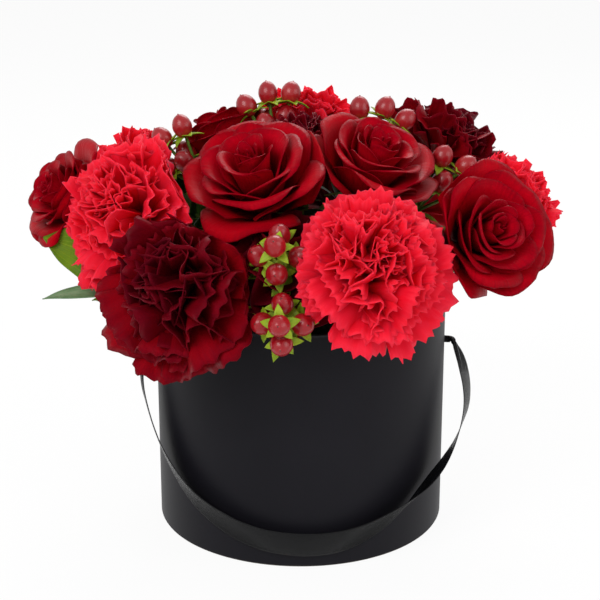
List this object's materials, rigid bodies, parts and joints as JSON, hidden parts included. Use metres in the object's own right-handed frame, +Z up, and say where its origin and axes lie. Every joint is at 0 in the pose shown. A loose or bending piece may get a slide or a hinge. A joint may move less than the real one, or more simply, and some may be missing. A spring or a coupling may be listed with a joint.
{
  "type": "flower box",
  "caption": "Round black hat box with a slack ribbon handle, filled with a domed arrangement of dark red roses, red and burgundy carnations and berry sprigs.",
  "frame": {"origin": "centre of the box's base, on the surface it stands on", "axes": "+Z up along the box's axis, -Y to the front where the ribbon hangs, +X to the right as seen from the front"},
  "size_m": [0.2848, 0.2471, 0.2409],
  "materials": {
    "board": "matt",
    "box_paper": "matt",
    "ribbon": "satin",
    "liner": "matt",
    "foam": "matt",
    "rose_petal": "velvet",
    "carnation_petal": "velvet",
    "burgundy_petal": "velvet",
    "berry": "gloss",
    "green_stem": "satin",
    "leaf": "satin"
  },
  "bodies": {
    "box": {"box_wall": "board", "outer_wrap": "box_paper", "box_base": "board"},
    "handle": {"ribbon_handle": "ribbon", "left_knot": "ribbon", "right_knot": "ribbon"},
    "insert": {"blade_leaf": "leaf", "broad_leaf": "leaf", "burgundy_back_bloom": "burgundy_petal", "burgundy_back_stem": "green_stem", "burgundy_front_bloom": "burgundy_petal", "burgundy_front_stem": "green_stem", "burgundy_right_bloom": "burgundy_petal", "burgundy_right_stem": "green_stem", "burgundy_top_bloom": "burgundy_petal", "burgundy_top_stem": "green_stem", "carnation_back_left_bloom": "carnation_petal", "carnation_back_left_stem": "green_stem", "carnation_back_right_bloom": "carnation_petal", "carnation_back_right_stem": "green_stem", "carnation_front_bloom": "carnation_petal", "carnation_front_stem": "green_stem", "carnation_left_bloom": "carnation_petal", "carnation_left_stem": "green_stem", "carnation_right_bloom": "carnation_petal", "carnation_right_stem": "green_stem", "carnation_top_bloom": "carnation_petal", "carnation_top_stem": "green_stem", "foam_block": "foam", "liner_pot": "liner", "rose_back_bloom": "rose_petal", "rose_back_left_bloom": "rose_petal", "rose_back_left_stem": "green_stem", "rose_back_stem": "green_stem", "rose_front_left_bloom": "rose_petal", "rose_front_left_stem": "green_stem", "rose_front_right_bloom": "rose_petal", "rose_front_right_stem": "green_stem", "rose_left_bloom": "rose_petal", "rose_left_stem": "green_stem", "rose_right_bloom": "rose_petal", "rose_right_stem": "green_stem", "small_leaf": "leaf", "sprig_front_high_berries": "berry", "sprig_front_high_stem": "green_stem", "sprig_front_low_berries": "berry", "sprig_front_low_stem": "green_stem", "sprig_left_berries": "berry", "sprig_left_stem": "green_stem", "sprig_right_berries": "berry", "sprig_right_stem": "green_stem", "sprig_top_left_berries": "berry", "sprig_top_left_stem": "green_stem", "sprig_top_right_berries": "berry", "sprig_top_right_stem": "green_stem"}
  },
  "joints": [
    {"name": "handle_swing", "type": "hinge", "parent": "box", "child": "handle", "pos_m": [0, 0, 0.1], "axis": [-1, 0, 0], "range_deg": [0, 40]},
    {"name": "insert_lift", "type": "slide", "parent": "box", "child": "insert", "axis": [0, 0, 1], "range_m": [0, 0.18]}
  ]
}
